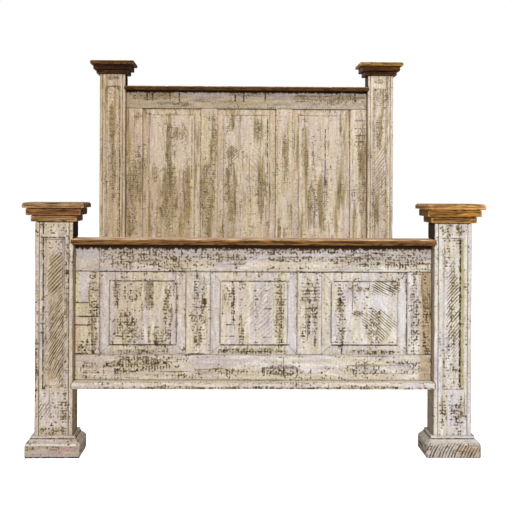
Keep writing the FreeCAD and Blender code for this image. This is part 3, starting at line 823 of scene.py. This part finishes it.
def board(end, seed):
    """A headboard or footboard: cap rail, rails, stiles, muntins and raised panels."""
    stem = end + "board_"
    look, voxel = LOOKS[end], VOXEL[end]
    # the cap rail's face that looks up gets a painted highlight
    stain = stained("stain_" + stem, X, Y, seed, golden=0.35, top=PEACH, **CAP_RAIL_TONES[end])
    worn(stem + "cap_rail", stain, voxel, 0.8, seed)
    for j, part in enumerate(("top_rail", "bottom_rail")):
        # the head's top rail gets painted shade: its paint is darker all over
        grey = (end, part) == ("head", "top_rail")
        rail_look = dict(look, tint=(0.78, 0.74, 0.66)) if grey else dict(look, wear=0.05)
        paint_board(stem + part, X, Y, voxel, seed + 1 + j, **rail_look)
    for j, part in enumerate(("stile_left", "stile_right", "muntin_left", "muntin_right")):
        paint_board(stem + part, Z, Y, voxel, seed + 5 + j, **look)
    z0, z1 = highest(stem + "bottom_rail", Z), lowest(stem + "top_rail", Z)
    openings = {"left": ("stile_left", "muntin_left"), "centre": ("muntin_left", "muntin_right"),
                "right": ("muntin_right", "stile_right")}
    for j, (part, (before, after)) in enumerate(openings.items()):
        x0, x1 = highest(stem + before, X), lowest(stem + after, X)
        f0, f1, g0, g1 = x0 + BORDER, x1 - BORDER, z0 + BORDER, z1 - BORDER
        # painted shadow and shade: dark lines round the opening, heaviest under the rail above it, then round
        # the raised field, heaviest under its lower edge
        edges = [(x0, z0, x0, z1, 4, 0.6), (x1, z0 + 10, x1, z1, 5, 1.1), (x0, z1, x1, z1, 7, 1.6),
                 (f0 - 1, g0 - 1, f0 - 1, g1 + 1, 3.5, 0.55), (f1 + 1, g0 - 1, f1 + 1, g1 + 1, 3.5, 0.3),
                 (f0 + 10, g1 + 2, f1 - 5, g1 + 2, 4, 0.9), (f0, g0 - 2, f1 + 1, g0 - 2, 5.5, 2.2)]
        paint_board(stem + "panel_" + part, Z, Y, voxel, seed + 10 + j, opening=(x0, x1, z0, z1),
                    strokes=edges, **look)


for count, (end, side) in enumerate(CAP_TONES):
    post(end, side, count)
board("foot", 100)
board("head", 200)
paint_board("footboard_ledge", X, Y, FINE, 150, 1.0, rub=0.5, **LOOKS["foot"])

for i, side in enumerate(("left", "right")):
    paint_board("side_rail_" + side, Y, X, COARSE, 300 + i, warm=0.3)
worn("slat_cleats", bare_pine("cleats", Y, X, 310), COARSE, 0.5, 310)
for i, node in enumerate(sorted(body for body in set(BODY_OF.values()) if body.startswith("slat_"))):
    worn(node, bare_pine(node, X, Z, 320 + i), COARSE, 0.5, 320 + i)

metal = zinc("zinc")
for node in ("screws", "rail_hook_plates", "post_slot_plates"):
    for slot in frame["nodes"][node].material_slots:
        slot.material = metal


# ------------------------------------------------------------------ stage, camera, light
SENSOR, LENS, SHIFT_UP = 36.0, 80.88, -0.1293
CAMERA_PLACE = (-0.0994, -5.751, 1.0571)
YAW, ROLL = -0.0229, 0.0048


def area_light(name, place, aim, size, watts, colour=(1, 1, 1)):
    """A rectangular lamp at place, turned towards aim."""
    data = bpy.data.lights.new(name, "AREA")
    data.shape = "RECTANGLE"
    data.size, data.size_y = size
    data.energy = watts
    data.color = colour
    ob = bpy.data.objects.new(name, data)
    bpy.context.scene.collection.objects.link(ob)
    ob.location = place
    ob.rotation_euler = (Vector(aim) - Vector(place)).to_track_quat("-Z", "Y").to_euler()


# the floor and the world are plain white to the camera, and light the bed softly
half = 30.0
corners = [(-half, -half, 0), (half, -half, 0), (half, half, 0), (-half, half, 0)]
floor_mesh = bpy.data.meshes.new("floor")
floor_mesh.from_pydata(corners, [], [(0, 1, 2, 3)])
floor = bpy.data.objects.new("floor", floor_mesh)
bpy.context.scene.collection.objects.link(floor)
pale = bpy.data.materials.new("pale_floor")
pale.use_nodes = True
pale_nodes, pale_links = pale.node_tree.nodes, pale.node_tree.links
matte = pale_nodes["Principled BSDF"]
matte.inputs["Base Color"].default_value = (0.9, 0.9, 0.9, 1)
matte.inputs["Roughness"].default_value = 0.9
matte.inputs["Emission Color"].default_value = (1, 1, 1, 1)
seen_directly = pale_nodes.new("ShaderNodeLightPath").outputs["Is Camera Ray"]
pale_links.new(seen_directly, matte.inputs["Emission Strength"])
floor_mesh.materials.append(pale)

world = bpy.data.worlds.new("studio")
bpy.context.scene.world = world
world.use_nodes = True
nodes, links = world.node_tree.nodes, world.node_tree.links
nodes.clear()
seen = nodes.new("ShaderNodeBackground")
seen.inputs["Color"].default_value = (1, 1, 1, 1)
lit = nodes.new("ShaderNodeBackground")
lit.inputs["Color"].default_value = (0.97, 0.98, 1, 1)
lit.inputs["Strength"].default_value = 0.20
choose = nodes.new("ShaderNodeMixShader")
links.new(nodes.new("ShaderNodeLightPath").outputs["Is Camera Ray"], choose.inputs[0])
links.new(lit.outputs[0], choose.inputs[1])
links.new(seen.outputs[0], choose.inputs[2])
links.new(choose.outputs[0], nodes.new("ShaderNodeOutputWorld").inputs["Surface"])

area_light("key", (0.5, -13.5, 5.2), (0.0, -0.4, 0.9), (2.6, 2.2), 1350)
area_light("back", (-5.0, 8.5, 5.0), (0.0, 0.5, 0.9), (4.0, 3.0), 700)
area_light("head", (0.4, -2.0, 4.6), (0.0, 1.0, 1.2), (2.4, 1.6), 40, (1.0, 0.99, 0.97))
bpy.context.scene.view_settings.view_transform = "Standard"

camera_data = bpy.data.cameras.new("camera")
camera = bpy.data.objects.new("camera", camera_data)
bpy.context.scene.collection.objects.link(camera)
camera_data.sensor_width = SENSOR
camera_data.lens = LENS
camera_data.shift_y = SHIFT_UP
level = Matrix.Rotation(math.pi / 2, 4, "X")
turn = Matrix.Rotation(YAW, 4, "Z") @ level @ Matrix.Rotation(ROLL, 4, "Z")
camera.matrix_world = Matrix.Translation(CAMERA_PLACE) @ turn
bpy.context.scene.camera = camera
